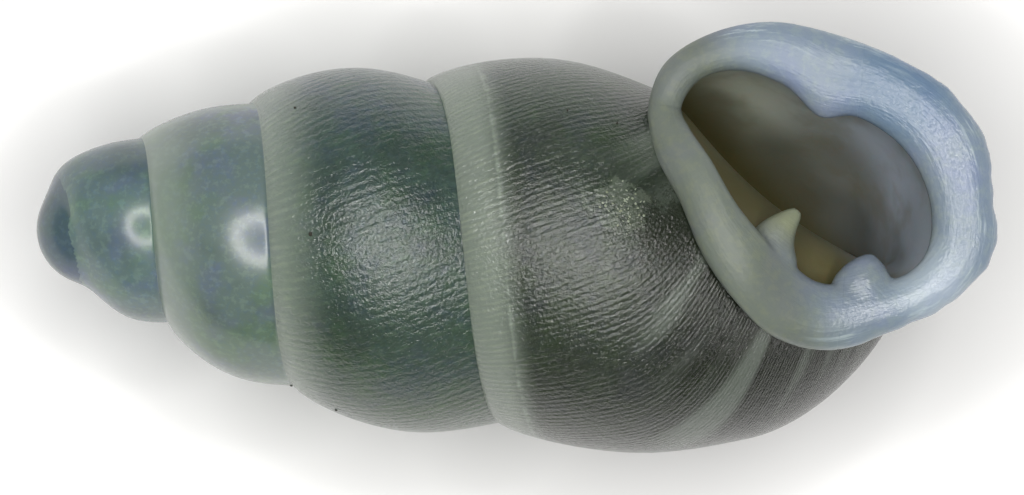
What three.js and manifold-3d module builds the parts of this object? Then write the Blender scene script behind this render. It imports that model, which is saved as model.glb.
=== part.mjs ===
// Empty shell of a thorn snail, about 1.9 mm long, lying on its back with the mouth up.
// Millimetres. X runs along the shell's own axis from apex to base, Z is up.
import * as THREE from 'three';
import Module from 'manifold-3d';
import { mergeVertices } from 'three/addons/utils/BufferGeometryUtils.js';

const wasm = await Module();
wasm.setup();

// Driving dimensions. Whorls are counted in half turns from the nucleus; the tables
// hold one value per half turn, even entries on the -Y side and odd ones on +Y.
const SUTURE_X = [0.008, 0.034, 0.112, 0.192, 0.288, 0.407, 0.549, 0.758, 0.965, 1.202, 1.460, 1.640];
const SUTURE_R = [0.035, 0.080, 0.128, 0.155, 0.206, 0.245, 0.310, 0.320, 0.345, 0.350, 0.334, 0.330];
const BULGE = [0.010, 0.016, 0.036, 0.020, 0.042, 0.050, 0.053, 0.054, 0.044, 0.056, 0.060];
const APEX_X = 0.004;
const NUCLEUS = [0.114, -0.034, 0.000];
const NUCLEUS_R = 0.116;
const MOUTH_WHORL = 4.5;
const SPIRE_END = 3.5;
const PROTOCONCH_X = 0.150;
const SHOULDER_POWER = 0.62;
const SPIRE_TIP_X = 1.49;
const SPIRE_BASE_REACH = 0.65;
const BODY_TIP_X = 1.752;
const BODY_BASE_X = 1.745;
const PILLAR_R = 0.024;
const COLUMELLA_FROM = 3.50;
const COLUMELLA_TO = 3.80;
const WALL = 0.030;
const LUMEN_START = 1.0;
const LUMEN_OVERREACH = 0.020;
const CUT = 0.004;
const GLAZE = 0.002;
const CORNER_SLACK = 0.012;
const MOUTH_CLEARANCE = 0.3;
// Overlaps of the hollows where one passes into the next, and the end of the whorls that the
// mouth's hollow must not cut into, all in whorls.
const SPIRE_HOLLOW_PAST = 0.05;
const BODY_HOLLOW_BEFORE = 0.08;
const BODY_HOLLOW_PAST = 0.04;
const COVERED_END = 3.97;

// The lip: outer edge x, y, inner edge x, y, and height above the axis, in order from the
// corner at the suture over the outer lip, the base and the columella to the parietal wall.
const LIP = [
  [1.200, 0.306, 1.268, 0.320, 0.205], [1.224, 0.396, 1.300, 0.372, 0.196],
  [1.308, 0.464, 1.372, 0.396, 0.186], [1.428, 0.500, 1.468, 0.374, 0.180],
  [1.576, 0.484, 1.544, 0.318, 0.180], [1.684, 0.452, 1.610, 0.326, 0.184],
  [1.792, 0.398, 1.692, 0.288, 0.194], [1.872, 0.314, 1.744, 0.234, 0.204],
  [1.904, 0.194, 1.778, 0.156, 0.212], [1.908, 0.074, 1.776, 0.070, 0.220],
  [1.848, -0.016, 1.736, 0.022, 0.226], [1.736, -0.088, 1.656, 0.000, 0.240],
  [1.600, -0.142, 1.570, -0.008, 0.262], [1.486, -0.124, 1.504, 0.030, 0.300],
  [1.400, -0.056, 1.444, 0.078, 0.342], [1.332, 0.026, 1.390, 0.134, 0.350],
  [1.276, 0.130, 1.334, 0.214, 0.326], [1.220, 0.214, 1.286, 0.274, 0.276],
];
const LIP_CENTRE = [1.550, 0.170];
const LIP_HALF_HEIGHT = 0.038;
const FLARE_START = 4.25;
const FLARE_SPAN = 0.32;
const FLARE_STEPS = 9;
const LIP_BASE_SHARE = 0.62;
const INNER_STEPS = 6;
const EMBED = 0.78;

// Teeth, from root to tip: centre x, y, z, half-width across and half-depth.
const PARIETAL_TOOTH = [
  [1.455, 0.015, 0.285, 0.062, 0.050], [1.474, 0.050, 0.283, 0.056, 0.046],
  [1.476, 0.076, 0.280, 0.042, 0.040], [1.484, 0.094, 0.277, 0.033, 0.034],
  [1.497, 0.111, 0.274, 0.024, 0.026], [1.509, 0.124, 0.271, 0.016, 0.016],
  [1.514, 0.132, 0.270, 0.008, 0.008],
];
const COLUMELLAR_TOOTH = [
  [1.656, -0.025, 0.232, 0.066, 0.045], [1.660, 0.004, 0.230, 0.058, 0.042],
  [1.664, 0.026, 0.228, 0.045, 0.036], [1.667, 0.043, 0.226, 0.029, 0.026],
  [1.668, 0.053, 0.224, 0.014, 0.014], [1.668, 0.058, 0.224, 0.005, 0.006],
];

// Lie of the shell: it rests on the backs of its last two whorls, rolled by this much about
// its axis, with flats cut this deep into them.
const RESTING_WHORLS = [3.25, 4.25];
const ROLL_DEG = 0;
const FLAT_DEPTH = 0.016;

const TURN_STEPS = 28;
const BAND_STEPS = 7;
const BASE_STEPS = 6;
const LUMEN_POINTS = 14;
const LIP_STEPS = 36;
const BEAD_POINTS = 10;
const TOOTH_POINTS = 14;

// Smooth value of a half-turn table at whorl s.
function table(values, s) {
  const p = Math.min(Math.max(s * 2, 0), values.length - 1);
  const i = Math.min(Math.floor(p), values.length - 2);
  const f = p - i;
  const a = values[i];
  const b = values[i + 1];
  const before = i > 0 ? values[i - 1] : 2 * a - b;
  const after = i + 2 < values.length ? values[i + 2] : 2 * b - a;
  const m0 = (b - before) / 2;
  const m1 = (after - a) / 2;
  const f2 = f * f;
  const f3 = f2 * f;
  return (2 * f3 - 3 * f2 + 1) * a + (f3 - 2 * f2 + f) * m0 + (3 * f2 - 2 * f3) * b + (f3 - f2) * m1;
}

const suture = (s) => [table(SUTURE_X, s), table(SUTURE_R, s)];

function smooth(edge0, edge1, x) {
  const t = Math.min(Math.max((x - edge0) / (edge1 - edge0), 0), 1);
  return t * t * (3 - 2 * t);
}

// Exposed side of whorl s between its upper suture (u = 0) and the next one (u = 1).
function side(s, u) {
  const [x0, r0] = suture(s);
  const [x1, r1] = suture(s + 1);
  const length = Math.hypot(x1 - x0, r1 - r0);
  const power = u < 0.5 ? SHOULDER_POWER : 1;
  const h = table(BULGE, s) * Math.sin(Math.PI * u) ** power;
  return [x0 + (x1 - x0) * u - (h * (r1 - r0)) / length, r0 + (r1 - r0) * u + (h * (x1 - x0)) / length];
}

// Base of whorl s, from the next suture (w = 0) to the columella (w = 1).
function base(s, w, isBody) {
  const [x0, r0] = side(s, 1);
  const [xb, rb] = side(s, 0.96);
  const slope = (r0 - rb) / (x0 - xb);
  const whorl = x0 - suture(s)[0];
  const open = isBody ? smooth(COLUMELLA_FROM, COLUMELLA_TO, s) : 0;
  const endX = isBody ? BODY_BASE_X : x0 + SPIRE_BASE_REACH * whorl;
  const lead = 0.22 * whorl;
  const p1 = [x0 + lead, r0 + lead * slope];
  const inX = x0 + 0.40 * whorl;
  const p2 = [inX + (1.70 - inX) * open, PILLAR_R * 0.4 + 0.160 * open];
  const k = [(1 - w) ** 3, 3 * w * (1 - w) ** 2, 3 * w * w * (1 - w), w ** 3];
  return [
    k[0] * x0 + k[1] * p1[0] + k[2] * p2[0] + k[3] * endX,
    k[0] * r0 + k[1] * p1[1] + k[2] * p2[1] + k[3] * PILLAR_R,
  ];
}

const azimuth = (s) => 2 * Math.PI * (s - MOUTH_WHORL);

function around([x, r], s) {
  const t = azimuth(s);
  return [x, r * Math.cos(t), r * Math.sin(t)];
}

// Closed manifold from a point list and triangles, turned outward and freed of slivers.
function solid(points, triangles) {
  let geometry = new THREE.BufferGeometry();
  geometry.setAttribute('position', new THREE.Float32BufferAttribute(points.flat(), 3));
  geometry.setIndex(triangles.flat());
  geometry = mergeVertices(geometry, 1e-5);
  const position = geometry.attributes.position;
  const index = [];
  const old = geometry.index.array;
  let volume = 0;
  const a = new THREE.Vector3();
  const b = new THREE.Vector3();
  const c = new THREE.Vector3();
  for (let i = 0; i < old.length; i += 3) {
    const [p, q, r] = [old[i], old[i + 1], old[i + 2]];
    if (p === q || q === r || p === r) continue;
    index.push(p, q, r);
    a.fromBufferAttribute(position, p);
    b.fromBufferAttribute(position, q);
    c.fromBufferAttribute(position, r);
    volume += a.dot(b.cross(c)) / 6;
  }
  if (volume < 0) index.reverse();
  return new wasm.Manifold(new wasm.Mesh({
    numProp: 3,
    vertProperties: new Float32Array(position.array),
    triVerts: new Uint32Array(index),
  }));
}

// Filled envelope of all whorls up to `end`, swollen outward by `swell`.
function envelope(end, isBody, swell) {
  const points = [];
  const triangles = [];
  const add = (p) => points.push(p) - 1;
  const first = Math.round(end * TURN_STEPS);
  const grow = ([x, r]) => [x, r + swell];
  const rows = [];
  const tip = add([(isBody ? BODY_TIP_X : SPIRE_TIP_X) + swell, 0, 0]);
  const apex = add([APEX_X - swell, 0, 0]);
  for (let i = 0; i <= first; i += 1) {
    const s = (i / TURN_STEPS) + (i === first ? swell * 0.5 : 0);
    const row = [];
    for (let j = 0; j <= BAND_STEPS; j += 1) {
      const u = (1 - Math.cos((Math.PI * j) / BAND_STEPS)) / 2;
      row.push(j === BAND_STEPS && i + TURN_STEPS <= first ? -1 : add(around(grow(side(s, u)), s)));
    }
    if (i >= first - TURN_STEPS) {
      for (let j = 1; j <= BASE_STEPS; j += 1) {
        row.push(add(around(grow(base(s, j / BASE_STEPS, isBody)), s)));
      }
      row.push(tip);
    }
    rows.push(row);
  }
  for (let i = 0; i + TURN_STEPS <= first; i += 1) rows[i][BAND_STEPS] = rows[i + TURN_STEPS][0];
  const last = BAND_STEPS + BASE_STEPS;
  if (isBody) rows[first][last] = rows[first - TURN_STEPS][last];
  for (let i = 0; i < first; i += 1) {
    const [p, q] = [rows[i], rows[i + 1]];
    const count = Math.min(p.length, q.length);
    for (let j = 0; j + 1 < count; j += 1) {
      triangles.push([p[j], q[j], q[j + 1]], [p[j], q[j + 1], p[j + 1]]);
    }
  }
  for (let i = 0; i < TURN_STEPS; i += 1) triangles.push([apex, rows[i + 1][0], rows[i][0]]);
  for (let j = 0; j < BAND_STEPS; j += 1) triangles.push([apex, rows[0][j], rows[0][j + 1]]);
  const inner = rows[first - TURN_STEPS].slice(BAND_STEPS + 1, -1).reverse();
  const rim = isBody ? [...rows[first].slice(0, -1), ...inner.slice(1)] : [...rows[first], ...inner];
  const flat = rim.map((id) => new THREE.Vector2(points[id][0], Math.hypot(points[id][1], points[id][2])));
  const isTurned = THREE.ShapeUtils.isClockWise(flat);
  for (const [p, q, r] of THREE.ShapeUtils.triangulateShape(flat, [])) {
    const same = THREE.ShapeUtils.isClockWise([flat[p], flat[q], flat[r]]) === isTurned;
    triangles.push(same ? [rim[p], rim[r], rim[q]] : [rim[p], rim[q], rim[r]]);
  }
  return { points, triangles };
}

// Outline of the tube of whorl s as edges with an inset for each: outer side, base, inner side.
function outline(s, isBody, insets) {
  const edges = [];
  const chain = (count, at, inset) => {
    for (let j = 0; j < count; j += 1) edges.push([at(j / count), at((j + 1) / count), inset]);
  };
  chain(12, (u) => side(s, u), insets[0]);
  chain(8, (w) => base(s, w, isBody), insets[0]);
  const low = base(s, 1, isBody);
  const high = base(s - 1, 1, false);
  chain(1, (w) => [low[0] + (high[0] - low[0]) * w, PILLAR_R], insets[1]);
  chain(8, (w) => base(s - 1, 1 - w, false), insets[2]);
  return edges;
}

// Distance from a centre to the inset outline in one direction.
function reach(edges, centre, angle) {
  const d = [Math.cos(angle), Math.sin(angle)];
  let best = Infinity;
  for (const [a, b, inset] of edges) {
    const e = [b[0] - a[0], b[1] - a[1]];
    const length = Math.hypot(e[0], e[1]);
    if (length < 1e-6) continue;
    const t = [e[0] / length, e[1] / length];
    let n = [t[1], -t[0]];
    if ((centre[0] - a[0]) * n[0] + (centre[1] - a[1]) * n[1] < 0) n = [-n[0], -n[1]];
    const p = [a[0] + n[0] * inset - centre[0], a[1] + n[1] * inset - centre[1]];
    const det = d[0] * t[1] - d[1] * t[0];
    if (Math.abs(det) < 1e-9) continue;
    const along = (p[0] * t[1] - p[1] * t[0]) / det;
    const across = (p[0] * d[1] - p[1] * d[0]) / det;
    const slack = Math.max(Math.abs(inset), CORNER_SLACK);
    if (along > 0 && across > -slack && across < length + slack) best = Math.min(best, along);
  }
  return best;
}

// Closed rounded loop inside the outline, with one point per angle.
function loop(s, isBody, insets, angles) {
  const edges = outline(s, isBody, insets);
  const x0 = suture(s)[0];
  const endX = base(s, 1, isBody)[0];
  const centre = [x0 + 0.5 * (endX - x0), 0.54 * side(s, 0.5)[1]];
  const n = angles.length;
  const free = angles.map((angle) => reach(edges, centre, angle));
  const beside = (list, i) => [list[(i + n - 1) % n], list[(i + 1) % n]];
  const limit = free.map((r, i) => (Number.isFinite(r) ? r : Math.min(...beside(free, i))));
  let radii = limit.slice();
  for (let pass = 0; pass < 2; pass += 1) {
    radii = radii.map((r, i) => {
      const [before, after] = beside(radii, i);
      return Math.min(limit[i], (before + 2 * r + after) / 4);
    });
  }
  return radii.map((r, i) => [centre[0] + r * Math.cos(angles[i]), centre[1] + r * Math.sin(angles[i])]);
}

// Closed tube through a list of loops of 3-D points.
function tube(loops) {
  const points = loops.flat();
  const n = loops[0].length;
  const triangles = [];
  for (let i = 0; i + 1 < loops.length; i += 1) {
    for (let j = 0; j < n; j += 1) {
      const k = (j + 1) % n;
      triangles.push([i * n + j, (i + 1) * n + j, (i + 1) * n + k], [i * n + j, (i + 1) * n + k, i * n + k]);
    }
  }
  for (const [i, flip] of [[0, false], [loops.length - 1, true]]) {
    const middle = [0, 1, 2].map((axis) => loops[i].reduce((sum, p) => sum + p[axis], 0) / n);
    const m = points.push(middle) - 1;
    for (let j = 0; j < n; j += 1) {
      const k = (j + 1) % n;
      triangles.push(flip ? [m, i * n + k, i * n + j] : [m, i * n + j, i * n + k]);
    }
  }
  return { points, triangles };
}

const vector = (x, y, z) => new THREE.Vector3(x, y, z);
const outerEdge = new THREE.CatmullRomCurve3(LIP.map((p) => vector(p[0], p[1], p[4])), true);
const innerEdge = new THREE.CatmullRomCurve3(LIP.map((p) => vector(p[2], p[3], p[4])), true);

// The bead of the lip: an oval section carried round between the outer and inner edges.
function bead(swell) {
  const points = [];
  const triangles = [];
  for (let i = 0; i < LIP_STEPS; i += 1) {
    const out = outerEdge.getPoint(i / LIP_STEPS);
    const inn = innerEdge.getPoint(i / LIP_STEPS);
    const middle = out.clone().add(inn).multiplyScalar(0.5);
    const half = out.clone().sub(inn).multiplyScalar(0.5);
    half.multiplyScalar(1 + swell / half.length());
    for (let j = 0; j < BEAD_POINTS; j += 1) {
      const a = (2 * Math.PI * j) / BEAD_POINTS;
      const p = middle.clone().addScaledVector(half, Math.cos(a));
      p.z += (LIP_HALF_HEIGHT + swell) * Math.sin(a);
      points.push(p.toArray());
    }
  }
  for (let i = 0; i < LIP_STEPS; i += 1) {
    const n = ((i + 1) % LIP_STEPS) * BEAD_POINTS;
    for (let j = 0; j < BEAD_POINTS; j += 1) {
      const k = (j + 1) % BEAD_POINTS;
      const m = i * BEAD_POINTS;
      triangles.push([m + j, n + j, n + k], [m + j, n + k, m + k]);
    }
  }
  return { points, triangles };
}

// Directions from the mouth's centre to the points of the lip.
const lipAngles = Array.from({ length: LIP_STEPS }, (_, i) => {
  const middle = outerEdge.getPoint(i / LIP_STEPS).add(innerEdge.getPoint(i / LIP_STEPS)).multiplyScalar(0.5);
  return Math.atan2(middle.y - LIP_CENTRE[1], middle.x - LIP_CENTRE[0]);
});

// Blend of a section of whorl s with the lip, at a share of the way from inner to outer edge.
function flareLoop(f, section, place, share) {
  const mix = smooth(0, 1, f);
  return section.map((p, j) => {
    const edge = innerEdge.getPoint(place[j] % 1).lerp(outerEdge.getPoint(place[j] % 1), share);
    return [0, 1, 2].map((axis) => p[axis] * (1 - mix) + edge.getComponent(axis) * mix);
  });
}

// The filled end of the tube, starting on the envelope's own rows so that the two join flush.
function filledFlare() {
  const count = BAND_STEPS + BASE_STEPS;
  const place = [];
  for (let j = 0; j <= count; j += 1) place.push((LIP_BASE_SHARE * j) / count);
  for (let j = 1; j < INNER_STEPS; j += 1) {
    place.push(LIP_BASE_SHARE + ((1 - LIP_BASE_SHARE) * j) / INNER_STEPS);
  }
  const loops = [];
  for (let i = -1; i <= FLARE_STEPS; i += 1) {
    const f = Math.max(i / FLARE_STEPS, 0);
    const s = i < 0 ? FLARE_START - 1 / TURN_STEPS : FLARE_START + FLARE_SPAN * f;
    const section = [];
    for (let j = 0; j <= BAND_STEPS; j += 1) {
      section.push(side(s, (1 - Math.cos((Math.PI * j) / BAND_STEPS)) / 2));
    }
    for (let j = 1; j <= BASE_STEPS; j += 1) section.push(base(s, j / BASE_STEPS, true));
    for (let j = 1; j < INNER_STEPS; j += 1) {
      const [x, r] = base(s - 1, 1 - j / INNER_STEPS, true);
      section.push([x, r * EMBED]);
    }
    loops.push(flareLoop(f, section.map((p) => around(p, s)), place, 0.5));
  }
  return loops;
}

// The hollow of the tube's end, out through the lip.
function mouthFlare(insets) {
  const place = lipAngles.map((_, j) => j / LIP_STEPS);
  const loops = [];
  for (let i = 0; i <= FLARE_STEPS; i += 1) {
    const f = i / FLARE_STEPS;
    const s = FLARE_START + FLARE_SPAN * f;
    loops.push(flareLoop(f, loop(s, true, insets, lipAngles).map((p) => around(p, s)), place, 0.12));
  }
  loops.push(loops[loops.length - 1].map((p) => [p[0], p[1], p[2] + MOUTH_CLEARANCE]));
  return loops;
}

// Loops of the hollow between two whorl counts.
function hollow(from, to, isBody, insets, angles) {
  const steps = Math.round((to - from) * TURN_STEPS);
  return Array.from({ length: steps + 1 }, (_, i) => {
    const s = from + ((to - from) * i) / steps;
    return loop(s, isBody, insets, angles).map((p) => around(p, s));
  });
}

const evenAngles = Array.from({ length: LUMEN_POINTS }, (_, i) => (2 * Math.PI * i) / LUMEN_POINTS);
const mesh = ({ points, triangles }) => solid(points, triangles);

// A tapering tooth through oval sections that stand upright across its own direction.
function tooth(rows, swell) {
  const last = rows.length - 1;
  const reach = [rows[last][0] - rows[0][0], rows[last][1] - rows[0][1]];
  const length = Math.hypot(...reach);
  const [alongX, alongY] = reach.map((d) => d / length);
  const loops = rows.map(([x, y, z, wide, deep], i) => {
    const push = (i === last ? swell : 0) - (i === 0 ? swell : 0);
    return Array.from({ length: TOOTH_POINTS }, (_, j) => {
      const a = (-2 * Math.PI * j) / TOOTH_POINTS;
      const w = (wide + swell) * Math.cos(a);
      const up = (deep + swell) * Math.sin(a);
      return [x + alongX * push - alongY * w, y + alongY * push + alongX * w, z + up];
    });
  });
  return mesh(tube(loops));
}

function nucleus() {
  const ball = new THREE.SphereGeometry(NUCLEUS_R, 14, 10);
  ball.translate(...NUCLEUS);
  ball.deleteAttribute('normal');
  ball.deleteAttribute('uv');
  const merged = mergeVertices(ball, 1e-5);
  const at = merged.attributes.position;
  const points = Array.from({ length: at.count }, (_, i) => [at.getX(i), at.getY(i), at.getZ(i)]);
  const triangles = [];
  for (let i = 0; i < merged.index.count; i += 3) {
    triangles.push([0, 1, 2].map((k) => merged.index.getX(i + k)));
  }
  return solid(points, triangles);
}

function box(x0, x1, z0, z1) {
  const geometry = new THREE.BoxGeometry(x1 - x0, 4, z1 - z0);
  geometry.translate((x0 + x1) / 2, 0, (z0 + z1) / 2);
  geometry.deleteAttribute('normal');
  geometry.deleteAttribute('uv');
  const merged = mergeVertices(geometry, 1e-5);
  return new wasm.Manifold(new wasm.Mesh({
    numProp: 3,
    vertProperties: new Float32Array(merged.attributes.position.array),
    triVerts: new Uint32Array(merged.index.array),
  }));
}

const spireInsets = [WALL, WALL / 3, WALL / 3];
const spireTo = SPIRE_END + SPIRE_HOLLOW_PAST;
const spireHollow = mesh(tube(hollow(LUMEN_START, spireTo, false, spireInsets, evenAngles)));
const spireWhole = mesh(envelope(SPIRE_END, false, 0)).add(nucleus()).subtract(spireHollow);

const bodyInsets = [WALL, WALL, -LUMEN_OVERREACH];
const bodyFrom = SPIRE_END - BODY_HOLLOW_BEFORE;
const bodyTo = FLARE_START + BODY_HOLLOW_PAST;
const bodyHollow = mesh(tube(hollow(bodyFrom, bodyTo, true, bodyInsets, evenAngles)));
const mouthHollow = mesh(tube(mouthFlare(bodyInsets))).subtract(mesh(envelope(COVERED_END, true, GLAZE)));
const flareFilled = mesh(tube(filledFlare()));
const beadCut = mesh(bead(CUT));
const parietalCut = tooth(PARIETAL_TOOTH, CUT);
const columellarCut = tooth(COLUMELLAR_TOOTH, CUT);
const bodyWhole = mesh(envelope(FLARE_START, true, 0))
  .add(flareFilled)
  .subtract(mesh(envelope(SPIRE_END, false, CUT)))
  .subtract(box(-2, PROTOCONCH_X, -2, 2))
  .subtract(bodyHollow)
  .subtract(mouthHollow)
  .subtract(beadCut)
  .subtract(parietalCut)
  .subtract(columellarCut);

const pieces = {
  protoconch: spireWhole.subtract(box(PROTOCONCH_X, 4, -2, 2)),
  spire: spireWhole.subtract(box(-2, PROTOCONCH_X + CUT, -2, 2)),
  body_whorl: bodyWhole,
  peristome: mesh(bead(0)).subtract(parietalCut).subtract(columellarCut),
  parietal_tooth: tooth(PARIETAL_TOOTH, 0),
  columellar_tooth: tooth(COLUMELLAR_TOOTH, 0),
};

const LOOKS = {
  protoconch: [0x7c807a, 0.30],
  spire: [0x6c716b, 0.28],
  body_whorl: [0x666b66, 0.28],
  peristome: [0x9499a6, 0.35],
  parietal_tooth: [0x858a94, 0.35],
  columellar_tooth: [0x858a94, 0.35],
};

// Back of a whorl: where its outline is farthest from the axis.
function back(s) {
  let best = side(s, 0);
  for (let u = 0; u <= 1; u += 0.05) {
    const p = side(s, u);
    if (p[1] > best[1]) best = p;
  }
  return best;
}

const [spireBack, bodyBack] = RESTING_WHORLS.map(back);
const pitch = Math.atan2(bodyBack[1] - spireBack[1], bodyBack[0] - spireBack[0]);
const degrees = THREE.MathUtils.radToDeg(pitch);
const lie = (piece) => piece.rotate([ROLL_DEG, 0, 0]).rotate([0, -degrees, 0]);
const laid = Object.fromEntries(Object.entries(pieces).map(([name, piece]) => [name, lie(piece)]));
const lowest = (piece) => piece.boundingBox().min[2];
const floor = Math.max(lowest(laid.spire), lowest(laid.body_whorl)) + FLAT_DEPTH;
for (const name of ['spire', 'body_whorl']) laid[name] = laid[name].subtract(box(-2, 4, floor - 1, floor));

const bounds = new THREE.Box3();
for (const piece of Object.values(laid)) {
  const { min, max } = piece.boundingBox();
  bounds.union(new THREE.Box3(vector(...min), vector(...max)));
}
const middle = bounds.getCenter(vector(0, 0, 0));

const group = new THREE.Group();
group.name = 'thorn_snail_shell';
// Cutting leaves crumbs far below the width of a cut, so each piece keeps its one real solid.
for (const [name, piece] of Object.entries(laid)) {
  const placed = piece.translate([-middle.x, -middle.y, -floor]);
  const [largest] = placed.decompose().sort((a, b) => b.volume() - a.volume());
  const out = largest.getMesh();
  const geometry = new THREE.BufferGeometry();
  geometry.setAttribute('position', new THREE.BufferAttribute(new Float32Array(out.vertProperties), 3));
  geometry.setIndex(new THREE.BufferAttribute(new Uint32Array(out.triVerts), 1));
  const [color, roughness] = LOOKS[name];
  const material = new THREE.MeshStandardMaterial({ color, roughness, metalness: 0 });
  material.name = name;
  const node = new THREE.Mesh(geometry, material);
  node.name = name;
  group.add(node);
}

export default group;
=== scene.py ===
"""Looks of an empty thorn snail shell: coiled whorls with growth lines and a thick toothed lip.

The shapes are modelled in millimetres along the shell's own axis (x from apex to base) and
then laid on the floor where the frame has them, in metres.
"""

import math

import bpy
import numpy as np
from bpy.props import FloatProperty, FloatVectorProperty, IntProperty, PointerProperty
from mathutils import Matrix, Vector


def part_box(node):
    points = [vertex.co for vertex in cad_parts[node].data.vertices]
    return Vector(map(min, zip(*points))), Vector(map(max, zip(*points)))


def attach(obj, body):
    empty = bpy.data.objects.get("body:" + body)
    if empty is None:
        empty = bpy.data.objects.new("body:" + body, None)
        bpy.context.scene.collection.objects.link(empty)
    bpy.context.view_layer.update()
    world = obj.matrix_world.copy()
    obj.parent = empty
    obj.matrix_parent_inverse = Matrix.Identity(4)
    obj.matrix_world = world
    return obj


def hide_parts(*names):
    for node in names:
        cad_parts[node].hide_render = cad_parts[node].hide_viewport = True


bl_info = {
    "name": "Thorn Snail Shell",
    "version": (1, 0, 0),
    "blender": (4, 5, 0),
    "location": "3D View > Sidebar > Shell",
    "description": "Builds the whorls, lip and studio of a thorn snail shell",
    "category": "Object",
}

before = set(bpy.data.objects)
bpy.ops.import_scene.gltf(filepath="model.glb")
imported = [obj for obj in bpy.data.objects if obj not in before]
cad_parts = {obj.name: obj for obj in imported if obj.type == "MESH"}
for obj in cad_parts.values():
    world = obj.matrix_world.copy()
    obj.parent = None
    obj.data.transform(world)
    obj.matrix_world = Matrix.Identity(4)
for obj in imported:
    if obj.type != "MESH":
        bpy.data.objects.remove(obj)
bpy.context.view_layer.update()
MM = 0.001
TURN = 2 * math.pi

# Whorls, one value per half turn from the nucleus: even entries on the -Y side, odd on +Y.
SUTURE_X = [0.008, 0.034, 0.112, 0.192, 0.288, 0.407, 0.549, 0.758, 0.965, 1.202, 1.460, 1.640]
SUTURE_R = [0.035, 0.080, 0.128, 0.155, 0.206, 0.245, 0.310, 0.320, 0.345, 0.350, 0.334, 0.330]
BULGE = [0.010, 0.016, 0.036, 0.020, 0.042, 0.050, 0.053, 0.054, 0.044, 0.056, 0.060]
SHOULDER_POWER = 0.62
APEX_X = 0.004
NUCLEUS = (0.114, -0.034, 0.0)
NUCLEUS_R = 0.116
MOUTH_WHORL = 4.5
SPIRE_END = 3.5
COVERED_END = 3.97
SPIRE_TIP_X = 1.49
SPIRE_BASE_REACH = 0.65
BODY_TIP_X = 1.752
BODY_BASE_X = 1.745
BASE_LEAD = 0.22
BASE_DIP = 0.40
OPEN_BASE_X = 1.70
OPEN_BASE_R = 0.160
PILLAR_R = 0.024
PILLAR_DIP = 0.4
COLUMELLA_TURNS = (3.50, 3.80)
WALL = 0.030
LUMEN_START = 1.0
LUMEN_OVERREACH = 0.020
CORNER_SLACK = 0.012
GLAZE = 0.002
MOUTH_CLEARANCE = 0.3
MOUTH_POINTS = 120
SHARP_ANGLE = math.radians(60)

# Overlaps, in whorls, of the hollows where one passes into the next.
SPIRE_HOLLOW_PAST = 0.05
BODY_HOLLOW_BEFORE = 0.08
BODY_HOLLOW_PAST = 0.04

ARAGONITE_IOR = 1.62

# Lip: outer edge x, y, inner edge x, y, and height above the axis, from the corner at the
# suture over the outer lip, the base and the columella to the parietal wall.
LIP = [
    (1.200, 0.306, 1.268, 0.320, 0.205), (1.224, 0.396, 1.300, 0.372, 0.196),
    (1.308, 0.464, 1.372, 0.396, 0.186), (1.428, 0.500, 1.468, 0.374, 0.180),
    (1.576, 0.484, 1.544, 0.318, 0.180), (1.684, 0.452, 1.610, 0.326, 0.184),
    (1.792, 0.398, 1.692, 0.288, 0.194), (1.872, 0.314, 1.744, 0.234, 0.204),
    (1.904, 0.194, 1.778, 0.156, 0.212), (1.908, 0.074, 1.776, 0.070, 0.220),
    (1.848, -0.016, 1.736, 0.022, 0.226), (1.736, -0.088, 1.656, 0.000, 0.240),
    (1.600, -0.142, 1.570, -0.008, 0.262), (1.486, -0.124, 1.504, 0.030, 0.300),
    (1.400, -0.056, 1.444, 0.078, 0.342), (1.332, 0.026, 1.390, 0.134, 0.350),
    (1.276, 0.130, 1.334, 0.214, 0.326), (1.220, 0.214, 1.286, 0.274, 0.276),
]
LIP_CENTRE = (1.550, 0.170)
LIP_HALF_HEIGHT = 0.038
FLARE_START = 4.25
FLARE_SPAN = 0.32
LIP_BASE_SHARE = 0.62
EMBED = 0.78

# Teeth, from root to tip: centre x, y, z, half-width across and half-depth.
PARIETAL_TOOTH = [
    (1.455, 0.015, 0.285, 0.062, 0.050), (1.474, 0.050, 0.283, 0.056, 0.046),
    (1.476, 0.076, 0.280, 0.042, 0.040), (1.484, 0.094, 0.277, 0.033, 0.034),
    (1.497, 0.111, 0.274, 0.024, 0.026), (1.509, 0.124, 0.271, 0.016, 0.016),
    (1.514, 0.132, 0.270, 0.008, 0.008),
]
COLUMELLAR_TOOTH = [
    (1.656, -0.025, 0.232, 0.066, 0.045), (1.660, 0.004, 0.230, 0.058, 0.042),
    (1.664, 0.026, 0.228, 0.045, 0.036), (1.667, 0.043, 0.226, 0.029, 0.026),
    (1.668, 0.053, 0.224, 0.014, 0.014), (1.668, 0.058, 0.224, 0.005, 0.006),
]
RESTING_WHORLS = (3.25, 4.25)
BEAD_SAMPLES = (360, 24)

# Spacing of the growth lines on the spire and on the last whorl and where it changes, their
# slant, and how they swing round on the last whorl's base, this far below the suture.
LINE_SPACING = (0.019, 0.0135)
SPACING_TURNS = (2.9, 3.7)
LINE_SLANT = math.tan(math.radians(22))
SWING_BELOW = 0.30
SWING_TURNS = (3.2, 3.6)
SWING = 3.2
WHORLS = 5

# Where along the axis wear fades out at the apex and on the early whorls.
APEX_WEAR = (0.12, 0.22)
SPIRE_WEAR = (0.48, 0.75)

# Soil left on the last whorl beside the lip, in the shell's own axes.
CRUMBS_AT = (1.172, 0.112, 0.376)
SPECKS_AT = (1.268, 0.078, 0.384)

# Camera: straight above, turned so that the shell lies as in the photo, 0.002 mm to a pixel.
CAMERA_TURN_DEG = 5.2
PHOTO_WIDTH_MM = 2.048
CAMERA_LENS = 450
CAMERA_SENSOR = 36
CAMERA_CLIP = (0.001, 2.0)
CAMERA_AIM_MM = (-0.004, -0.053)
SHARP_HEIGHT_MM = 0.43

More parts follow.
